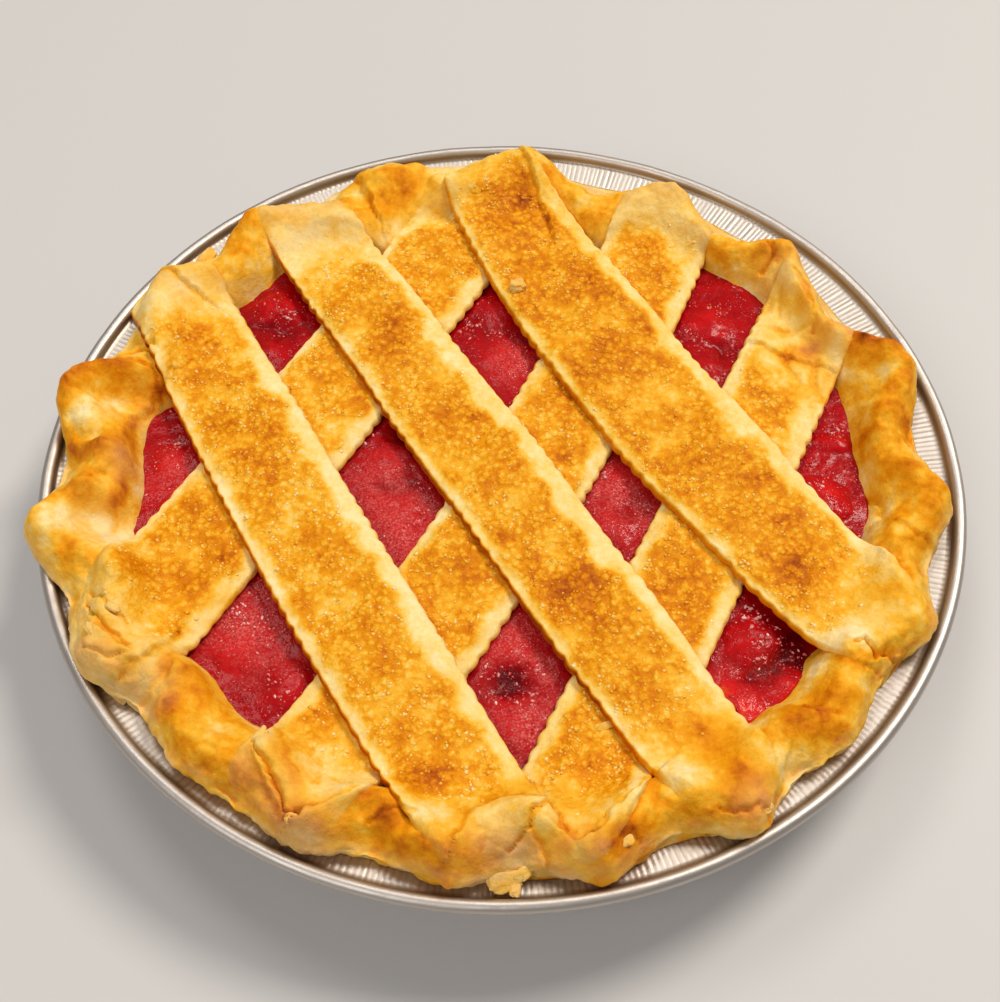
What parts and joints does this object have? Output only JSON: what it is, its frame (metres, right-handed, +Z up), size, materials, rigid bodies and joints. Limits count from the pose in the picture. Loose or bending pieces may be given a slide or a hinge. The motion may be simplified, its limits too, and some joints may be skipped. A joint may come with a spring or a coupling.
{
  "type": "lattice-top cherry pie in foil tin",
  "caption": "Round cherry pie with a wide lattice top over red filling and a thick crimped crust, baked in a shallow round foil tin with a rolled bead.",
  "frame": {"origin": "centre of the tin's flat bottom, on the surface that it rests on", "axes": "+Z up through the middle of the pie, +X to the right and +Y away from the front, the side from which the upper lattice strips run away to the left"},
  "size_m": [0.2444, 0.2444, 0.0469],
  "materials": {
    "foil": "bright pressed aluminium foil",
    "baked_crust": "browned shortcrust dough, satin from an egg wash",
    "sugared_strip": "golden brown dough with baked-on sugar and paler edges",
    "cherry_filling": "glossy wet cherry filling"
  },
  "bodies": {
    "root": {"tin": "foil", "crust": "baked_crust", "filling": "cherry_filling", "lower_strip_1": "sugared_strip", "lower_strip_2": "sugared_strip", "lower_strip_3": "sugared_strip", "upper_strip_1": "sugared_strip", "upper_strip_2": "sugared_strip", "upper_strip_3": "sugared_strip"}
  },
  "joints": []
}
